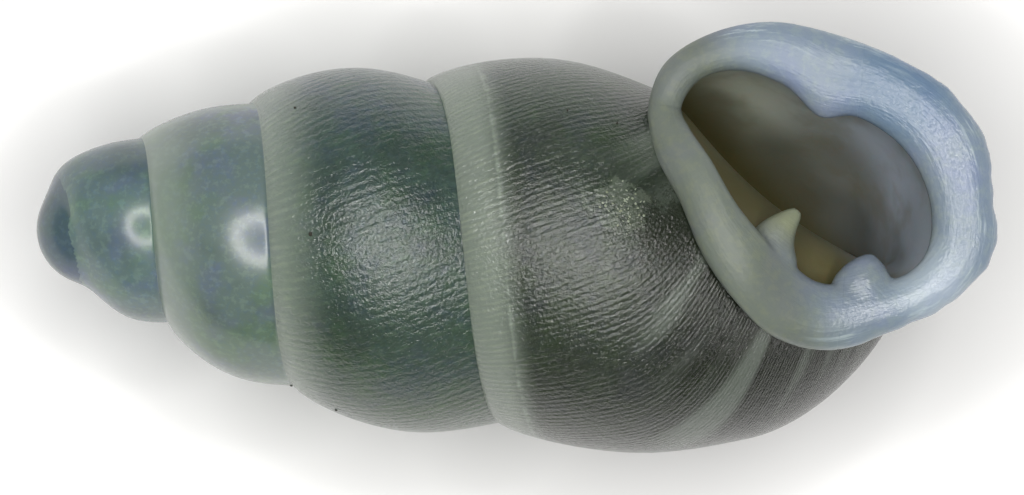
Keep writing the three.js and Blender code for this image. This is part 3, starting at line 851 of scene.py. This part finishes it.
def shell_material(band_colour):
    """Thin translucent aragonite: grey-green, glossy, with raised growth lines."""
    material, n = new_material("shell_outside")
    place = n.millimetres()
    growth = n.split(n.add("ShaderNodeUVMap", uv_map="growth"))
    age = n.split(n.add("ShaderNodeUVMap", uv_map="age"))[0]
    lines, below = growth[0], growth[1]
    late = n.span(age, 3.2, 3.5)

    # Tint of the wall: cloudy on the early whorls, clearer and darker on the last one.
    tint = n.ramp(
        n.maths("DIVIDE", age, 5.0),
        (
            (0.08, "#4b5e68"), (0.15, "#667b7a"), (0.30, "#697a7b"), (0.40, "#64766c"),
            (0.50, "#405453"), (0.60, "#3c4c3c"), (0.70, "#3c4a3f"), (0.80, "#292e22"),
        ),
    )
    for start, scale, cast in (
        ((0.0, 0.0, 0.0), 9.0, (0.96, 1.05, 0.84, 1)),
        ((7.0, 3.0, 5.0), 11.0, (1.00, 0.94, 1.20, 1)),
        ((2.0, 9.0, 1.0), 5.0, (0.80, 0.80, 0.78, 1)),
        ((5.0, 1.0, 8.0), 70.0, (1.22, 1.22, 1.16, 1)),
        ((1.0, 6.0, 4.0), 90.0, (0.95, 0.98, 1.12, 1)),
    ):
        cloud = n.noise(n.vector("ADD", place, start), scale, 3.0, 0.6)
        tint = n.cast(n.span(cloud, 0.48, 0.66), tint, cast)

    # The band under each suture, where the wall is doubled, and the pale lines beside it.
    band = n.span(below, n.times(late, 0.05), 0.125, 1.0, 0.0)
    band = n.times(band, n.span(age, 1.1, 1.6, 0.0, 0.55))
    edge = n.times(n.maths("ABSOLUTE", n.maths("SUBTRACT", below, 0.083)), 60.0)
    broken = n.span(n.noise(place, 40.0, 3.0, 0.6), 0.35, 0.65, 0.35, 0.65)
    edge = n.times(n.maths("MAXIMUM", n.maths("SUBTRACT", 1.0, edge), 0.0), broken)
    seam = n.times(n.span(below, 0.0, 0.020, 1.0, 0.0), 0.7)
    pale = n.maths("MAXIMUM", band, n.times(n.maths("MAXIMUM", edge, seam), late))
    tint = n.blend(pale, tint, band_colour)

    # Growth lines: uneven ridges, drawn out along the line, with a painted highlight on their crests; below
    # them, painted shade on the last whorl's underside.
    streak_at = n.join(n.times(lines, 1.6), n.times(below, 26.0))
    streak = n.noise(streak_at, 1.0, 3.0, 0.7)
    wave = n.maths("SINE", n.times(lines, TURN))
    strong = n.span(age, 2.0, 2.6, 0.04, 1.0)
    ridge = n.maths("MULTIPLY_ADD", wave, 0.10, streak)
    # Painted highlight: the ridge crests are brightened in colour as glints of the ring light.
    painted_glint = n.times(n.span(ridge, 0.45, 0.75), n.times(strong, 0.22))
    tint = n.cast(painted_glint, tint, (2.0, 1.95, 1.6, 1))
    # Painted shade: the last whorl's underside is darkened in colour towards the floor.
    painted_underside_shade = n.times(n.span(below, 0.24, 0.50), late)
    tint = n.cast(painted_underside_shade, tint, (0.34, 0.34, 0.25, 1))

    # Rests in growth: pale arcs along the lip on the last whorl's base.
    rest_at = n.join(n.times(lines, 0.075), n.times(below, 1.5))
    rest = n.times(n.span(n.noise(rest_at, 1.0), 0.50, 0.66), n.span(below, 0.28, 0.42))
    tint = n.blend(n.times(n.times(rest, late), 0.30), tint, band_colour)

    # Film of soil round the crumbs beside the lip, pale to the left and dark to the right.
    for centre, size, hex_code, share in (
        ((0.301, 0.020, 0.747), 0.050, "#20261a", 0.80),
        ((0.215, 0.055, 0.747), 0.030, "#8d9987", 0.25),
    ):
        shift = n.maths("MULTIPLY_ADD", n.noise(place, 24.0, 4.0, 0.8), 0.30, -0.15)
        ragged = n.maths("ADD", n.distance(place, centre), shift)
        film = n.span(ragged, size, size + 0.03, share, 0.0)
        tint = n.blend(film, tint, colour(hex_code))

    grain = n.times(n.noise(place, 140.0, 2.0, 0.6), strong)
    height = n.maths("MULTIPLY_ADD", ridge, strong, n.times(grain, 0.9))
    relief = n.add("ShaderNodeBump", {"Strength": 1.0, "Distance": 2.5e-6, "Height": height})
    n.finish({
        "Base Color": tint,
        "Roughness": n.span(age, 1.5, 2.6, 0.26, 0.14),
        "IOR": ARAGONITE_IOR,
        "Subsurface Weight": 0.40,
        "Subsurface Radius": (1.0, 1.0, 0.9),
        "Subsurface Scale": 4e-5,
        "Normal": relief,
    })
    return material


def inside_material():
    """Inner wall of the last whorl: smooth shell, with dark olive painted shade where it is deep."""
    material, n = new_material("shell_inside")
    place = n.millimetres()
    axes = n.split(place)
    tint = n.blend(n.span(axes[0], 0.42, 0.76), colour("#b0b6a6"), colour("#acb6c4"))
    from_wall = n.maths("ADD", n.times(axes[0], 0.65), n.times(axes[1], 0.76))
    near = n.times(n.span(axes[2], 0.42, 0.58), n.span(from_wall, 0.46, 0.60))
    tint = n.blend(near, tint, colour("#98a3ad"))
    # Painted shade: dark olive deep in the mouth, towards the parietal wall.
    tint = n.blend(n.span(from_wall, 0.40, 0.53, 1.0, 0.0), tint, colour("#5f5a36"))
    tint = n.blend(n.spot(place, (0.772, 0.032, 0.45), 0.04, 0.14, 0.45), tint, colour("#7b828a"))
    # Painted shade: a dark olive spot deep inside the mouth.
    tint = n.blend(n.spot(place, (0.60, 0.12, 0.25), 0.08, 0.23, 0.75), tint, colour("#525039"))
    cloud = n.noise(place, 9.0, 3.0, 0.6)
    tint = n.blend(n.span(cloud, 0.44, 0.70), tint, n.blend(0.35, tint, colour("#6a6346")))
    relief = n.add("ShaderNodeBump", {"Strength": 1.0, "Distance": 8e-7, "Height": n.noise(place, 60.0)})
    n.finish({
        "Base Color": tint,
        "Roughness": 0.45,
        "IOR": ARAGONITE_IOR,
        "Subsurface Weight": 0.3,
        "Subsurface Scale": 4e-5,
        "Normal": relief,
    })
    return material


def lip_material(left_colour, right_colour):
    """Thick opaque callus of the lip and teeth: bluish white with fine layers along its edge and a painted
    highlight on its thickest corner.
    """
    material, n = new_material("lip_callus")
    place = n.millimetres()
    axes = n.split(place)
    along, across = n.split(n.add("ShaderNodeUVMap", uv_map="lip"))[:2]
    right = n.span(n.maths("MULTIPLY_ADD", axes[1], 0.45, axes[0]), 0.49, 0.64)
    tint = n.blend(right, left_colour, right_colour)
    tint = n.blend(n.span(across, -1.1, -0.2, 0.45, 0.0), tint, colour("#7b8380"))
    cloud = n.noise(place, 8.0, 3.0, 0.6)
    tint = n.cast(n.span(cloud, 0.46, 0.66), tint, (0.99, 0.97, 1.10, 1))
    mottle = n.noise(place, 60.0, 3.0, 0.6)
    tint = n.cast(n.span(mottle, 0.45, 0.65), tint, (1.12, 1.10, 1.0, 1))
    layer_at = n.join(n.times(along, 7.0), n.times(across, 5.0))
    layer = n.noise(layer_at, 1.0, 4.0, 0.7)
    outer = n.times(n.span(across, 0.0, 0.7), right)
    tint = n.blend(n.times(n.span(layer, 0.52, 0.70), outer), tint, colour("#bccacf"))
    # Spots of colour on the lip; the first, on the thickest corner, is a painted highlight.
    for centre, inner, outer, share, hex_code in (
        ((0.840, -0.050, 0.60), 0.03, 0.12, 0.50, "#c4d1d9"),  # painted highlight on the thickest corner
        ((0.686, -0.126, 0.60), 0.03, 0.12, 0.55, "#78857f"),  # foot of the columella
        ((0.745, 0.331, 0.58), 0.05, 0.17, 0.60, "#5f7f9f"),  # upper right
        ((0.555, 0.060, 0.64), 0.035, 0.105, 0.70, "#8c9168"),  # tip of the parietal tooth
    ):
        tint = n.blend(n.spot(place, centre, inner, outer, share), tint, colour(hex_code))
    rough = n.maths("MULTIPLY_ADD", n.noise(place, 110.0), 0.5, layer)
    height = n.times(rough, n.maths("MULTIPLY_ADD", outer, 0.88, 0.12))
    relief = n.add("ShaderNodeBump", {"Strength": 1.0, "Distance": 9e-6, "Height": height})
    n.finish({
        "Base Color": tint,
        "Roughness": n.span(axes[0], 0.30, 0.75, 0.58, 0.24),
        "IOR": ARAGONITE_IOR,
        "Subsurface Weight": 0.5,
        "Subsurface Radius": (1.0, 1.0, 1.1),
        "Subsurface Scale": 3e-5,
        "Normal": relief,
    })
    return material


def plain_material(name, shade, roughness):
    """One dull colour."""
    material, n = new_material(name)
    n.finish({"Base Color": shade, "Roughness": roughness})
    return material


def grain_material(name, shade):
    """Dull soil, uneven in colour."""
    material, n = new_material(name)
    cloud = n.noise(n.millimetres(), 90.0, 2.0, 0.6)
    tint = n.cast(n.span(cloud, 0.4, 0.6), shade, (0.7, 0.7, 0.6, 1))
    n.finish({"Base Color": tint, "Roughness": 0.7})
    return material


def light_material(name, strength):
    """Even, slightly warm light."""
    material, n = new_material(name)
    n.finish({"Color": (1.0, 0.99, 0.97, 1), "Strength": strength}, "ShaderNodeEmission")
    return material


def flat_ring(name, inner, outer, height, material, count=96):
    """Level ring that faces down and isn't seen by the camera itself."""
    points = []
    for i in range(count):
        a = TURN * i / count
        points += [(r * math.cos(a), r * math.sin(a), height) for r in (inner, outer)]
    faces = []
    for i in range(count):
        k = (i + 1) % count
        faces.append((2 * i, 2 * k, 2 * k + 1, 2 * i + 1))
    ring = flat_object(name, points, faces, material)
    ring.visible_camera = False
    return ring


def whole(name, description, default):
    """A whole-number setting."""
    return IntProperty(name=name, description=description, default=default)


def decimal(name, description, default, **kind):
    """A decimal setting, with its unit or subtype where it has one."""
    return FloatProperty(name=name, description=description, default=default, precision=4, **kind)


def paint(name, description, hex_code):
    """A colour setting, given as an sRGB hex code."""
    kind = {"subtype": "COLOR", "size": 4, "min": 0.0, "max": 1.0}
    return FloatVectorProperty(name=name, description=description, default=colour(hex_code), **kind)


class WhorlSettings(bpy.types.PropertyGroup):
    """Detail, wear and colour of the whorls"""

    turn_steps: whole("Steps per turn", "Steps of the coil per turn", 160)
    band_steps: whole("Band steps", "Steps between two sutures", 26)
    base_steps: whole("Base steps", "Steps from the last suture to the base", 24)
    flare_steps: whole("Flare steps", "Steps of the widening end", 44)
    hollow_steps: whole("Hollow steps", "Steps of the hollow per turn", 72)
    hollow_points: whole("Hollow points", "Points round the hollow", 48)
    wear: whole("Wear", "Smoothing passes that soften early sutures", 80)
    band_colour: paint("Band colour", "Colour of the doubled wall under each suture", "#a1ada1")


class LipSettings(bpy.types.PropertyGroup):
    """Detail, ridges and colours of the lip"""

    steps: whole("Steps", "Steps round the lip", 360)
    points: whole("Points", "Points of the lip's section", 40)
    voxel: decimal("Voxel", "Grid size that fuses lip and teeth, in mm", 0.0045)
    melt: whole("Melt", "Smoothing passes where teeth meet the lip", 14)
    ridge: decimal("Ridge", "Height of the rim's fine ridges, in mm", 0.022)
    seed: decimal("Seed", "Fixed seed of the ridges", 3.0)
    left_colour: paint("Left colour", "Colour of the thin side by the whorls", "#717a70")
    right_colour: paint("Right colour", "Colour of the thick outer side", "#8797a8")


class GrainSettings(bpy.types.PropertyGroup):
    """Size, number and colours of the soil left on the whorls"""

    crumb: decimal("Crumb", "Size of a pale crumb, in mm", 0.0022)
    crumbs: decimal("Crumbs", "Pale crumbs per mm2", 14000)
    patch: decimal("Patch", "Radius of the crumbs' patch, in mm", 0.060)
    speck: decimal("Speck", "Size of a dark speck, in mm", 0.0040)
    specks: decimal("Specks", "Dark specks per mm2 at their place", 9000)
    strays: decimal("Strays", "Dark specks per mm2 elsewhere", 3.0)
    seed: whole("Seed", "Fixed seed of the scatter", 5)
    crumb_colour: paint("Crumb colour", "Colour of the pale crumbs", "#98a290")
    speck_colour: paint("Speck colour", "Colour of the dark specks", "#2c2a20")


class StageSettings(bpy.types.PropertyGroup):
    """Floor and lights"""

    floor: decimal("Floor", "Floor width", 0.6, unit="LENGTH")
    floor_colour: paint("Floor colour", "Colour of the floor", "#fcfcfc")
    ring_height: decimal("Ring height", "Ring light over the floor", 0.040, unit="LENGTH")
    ring_angle: decimal(
        "Ring angle", "Half-angle of the ring seen from the shell", math.radians(20), subtype="ANGLE"
    )
    ring_strength: decimal("Ring strength", "Brightness of the ring", 17.0)
    panel_angle: decimal("Panel angle", "Half-angle of the soft panel", math.radians(38), subtype="ANGLE")
    panel_strength: decimal("Panel strength", "Brightness of the panel", 0.30)
    sky_strength: decimal("Sky strength", "Brightness of the soft surround", 0.10)


class SHELL_OT_whorls(bpy.types.Operator):
    """Build the coiled whorls as one seamless hollow skin"""

    bl_idname = "shell.whorls"
    bl_label = "Build whorls"

    def execute(self, context):
        v = context.scene.shell_whorls
        detail = (v.turn_steps, v.band_steps, v.base_steps)
        skins = (shell_material(tuple(v.band_colour)), inside_material())
        shell = envelope("shell_whorls", detail, FLARE_START, True, 0, skins)
        combine(shell, ball("nucleus", NUCLEUS, NUCLEUS_R, skins), "UNION")
        combine(shell, filled_flare(detail, v.flare_steps, skins), "UNION")
        around_hollow = (v.hollow_steps, v.hollow_points, skins, 1)
        insets = (WALL, WALL / 3, WALL / 3)
        end = SPIRE_END + SPIRE_HOLLOW_PAST
        spire = hollow("spire_hollow", LUMEN_START, end, False, insets, *around_hollow)
        combine(shell, spire, "DIFFERENCE")
        insets = (WALL, WALL, -LUMEN_OVERREACH)
        start, end = SPIRE_END - BODY_HOLLOW_BEFORE, FLARE_START + BODY_HOLLOW_PAST
        last = hollow("body_hollow", start, end, True, insets, *around_hollow)
        combine(last, envelope("spire_keep", detail, SPIRE_END, False, GLAZE, skins, 1), "DIFFERENCE")
        combine(shell, last, "DIFFERENCE")
        mouth = mouth_flare(v.flare_steps, MOUTH_POINTS, insets, skins)
        combine(mouth, envelope("wall_keep", detail, COVERED_END, True, GLAZE, skins, 1), "DIFFERENCE")
        combine(shell, mouth, "DIFFERENCE")
        growth_maps(shell.data)
        wear(shell, v.wear)
        shell.data.shade_smooth()
        shell.data.set_sharp_from_angle(angle=SHARP_ANGLE)
        self.strew(context.scene.shell_grains, shell)
        lay_down(shell)
        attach(shell, "root")
        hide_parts("protoconch", "spire", "body_whorl")
        return {"FINISHED"}

    def strew(self, v, shell):
        """Leaves pale crumbs and dark specks of soil on the whorls."""
        tree = grain_tree()
        for name, shade, centre, radius, size, density, strays in (
            ("pale_crumbs", v.crumb_colour, CRUMBS_AT, v.patch, v.crumb, v.crumbs, 0.0),
            ("dark_specks", v.speck_colour, SPECKS_AT, v.patch / 3, v.speck, v.specks, v.strays),
        ):
            grains = linked(name, shell.data.copy())
            values = {
                "Centre": centre, "Radius": radius, "Grain size": size, "Grains per mm2": density,
                "Strays per mm2": strays, "Seed": v.seed, "Material": grain_material(name, tuple(shade)),
            }
            run_tree(grains, tree, values)
            lay_down(grains)
            grains.data.shade_smooth()
            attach(grains, "root")


class SHELL_OT_lip(bpy.types.Operator):
    """Build the thick lip with its teeth, melted into one piece"""

    bl_idname = "shell.lip"
    bl_label = "Build lip"

    def execute(self, context):
        v = context.scene.shell_lip
        count = v.points
        t = np.repeat(np.arange(v.steps) / v.steps, count)
        faces = []
        for i in range(v.steps):
            a, b = i * count, (i + 1) % v.steps * count
            faces += [(a + j, b + j, b + (j + 1) % count, a + (j + 1) % count) for j in range(count)]
        skin = lip_material(tuple(v.left_colour), tuple(v.right_colour))
        lip = new_object("lip_and_teeth", outer_edge(t), faces, (skin,))
        for name, rows in (("outer", outer_edge(t)), ("inner", inner_edge(t))):
            lip.data.attributes.new(name, "FLOAT_VECTOR", "POINT").data.foreach_set("vector", rows.ravel())
        turns = np.tile(TURN * np.arange(count) / count, v.steps)
        lip.data.attributes.new("turn", "FLOAT", "POINT").data.foreach_set("value", turns)
        face_outward(run_tree(lip, lip_tree(), {"Ridge height": v.ridge, "Seed": v.seed, "Material": skin}))
        combine(lip, tooth("parietal", PARIETAL_TOOTH), "UNION")
        combine(lip, tooth("columellar", COLUMELLAR_TOOTH), "UNION")
        grid = lip.modifiers.new("fuse", "REMESH")
        grid.mode = "VOXEL"
        grid.voxel_size = v.voxel
        melt = lip.modifiers.new("melt", "SMOOTH")
        melt.factor = 0.5
        melt.iterations = v.melt
        evaluated(lip)
        # Fusing leaves an empty material slot, so the lip gets its material anew.
        lip.data.materials.clear()
        lip.data.materials.append(skin)
        lip_map(lip.data)
        lay_down(lip)
        lip.data.shade_smooth()
        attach(lip, "root")
        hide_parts("peristome", "parietal_tooth", "columellar_tooth")
        return {"FINISHED"}


class SHELL_OT_stage(bpy.types.Operator):
    """Build the pale floor, the soft light and the camera"""

    bl_idname = "shell.stage"
    bl_label = "Build stage"

    def execute(self, context):
        v = context.scene.shell_stage
        half = v.floor / 2
        corners = [(-half, -half, 0), (half, -half, 0), (half, half, 0), (-half, half, 0)]
        finish = plain_material("pale_floor", tuple(v.floor_colour), 0.8)
        floor = flat_object("floor", corners, [(0, 1, 2, 3)], finish)

        radius = v.ring_height * math.tan(v.ring_angle)
        width = v.ring_height * RING_WIDTH
        glow = light_material("ring_light", v.ring_strength)
        ring = flat_ring("ring_light", radius - width / 2, radius + width / 2, v.ring_height, glow)
        high = v.ring_height * PANEL_HEIGHT
        glow = light_material("soft_panel", v.panel_strength)
        panel = flat_ring("soft_panel", PANEL_HOLE, high * math.tan(v.panel_angle), high, glow)

        world = bpy.data.worlds.new("soft_surround")
        world.use_nodes = True
        sky = world.node_tree.nodes["Background"]
        sky.inputs["Color"].default_value = (0.96, 0.98, 1.0, 1)
        sky.inputs["Strength"].default_value = v.sky_strength
        context.scene.world = world
        context.scene.view_settings.view_transform = "Standard"

        data = bpy.data.cameras.new("camera")
        data.lens = CAMERA_LENS
        data.sensor_width = CAMERA_SENSOR
        data.clip_start, data.clip_end = CAMERA_CLIP
        camera = linked("camera", data)
        turn = Matrix.Rotation(math.radians(CAMERA_TURN_DEG), 4, "Z")
        distance = PHOTO_WIDTH_MM * CAMERA_LENS / CAMERA_SENSOR
        eye = turn @ Vector((*CAMERA_AIM_MM, SHARP_HEIGHT_MM + distance))
        camera.matrix_world = Matrix.Translation(eye * MM) @ turn
        context.scene.camera = camera
        return {"FINISHED"}


class SHELL_PT_panel(bpy.types.Panel):
    """Sizes and build buttons of the shell"""

    bl_idname = "SHELL_PT_panel"
    bl_label = "Shell"
    bl_space_type = "VIEW_3D"
    bl_region_type = "UI"
    bl_category = "Shell"

    def draw(self, context):
        """Lists each group's settings over its build button."""
        for groups, operator in (
            (("shell_whorls", "shell_grains"), "shell.whorls"),
            (("shell_lip",), "shell.lip"),
            (("shell_stage",), "shell.stage"),
        ):
            box = self.layout.box()
            for group in groups:
                settings = getattr(context.scene, group)
                for name in settings.__annotations__:
                    box.prop(settings, name)
            box.operator(operator)


GROUPS = {
    "shell_whorls": WhorlSettings,
    "shell_grains": GrainSettings,
    "shell_lip": LipSettings,
    "shell_stage": StageSettings,
}
CLASSES = (*GROUPS.values(), SHELL_OT_whorls, SHELL_OT_lip, SHELL_OT_stage, SHELL_PT_panel)


def register():
    """Adds the classes and their settings to Blender."""
    for cls in CLASSES:
        bpy.utils.register_class(cls)
    for name, group in GROUPS.items():
        setattr(bpy.types.Scene, name, PointerProperty(type=group))


def unregister():
    """Takes them out again."""
    for name in GROUPS:
        delattr(bpy.types.Scene, name)
    for cls in reversed(CLASSES):
        bpy.utils.unregister_class(cls)


def main():
    """Builds everything."""
    register()
    bpy.ops.shell.whorls()
    bpy.ops.shell.lip()
    bpy.ops.shell.stage()


if __name__ == "__main__":
    main()
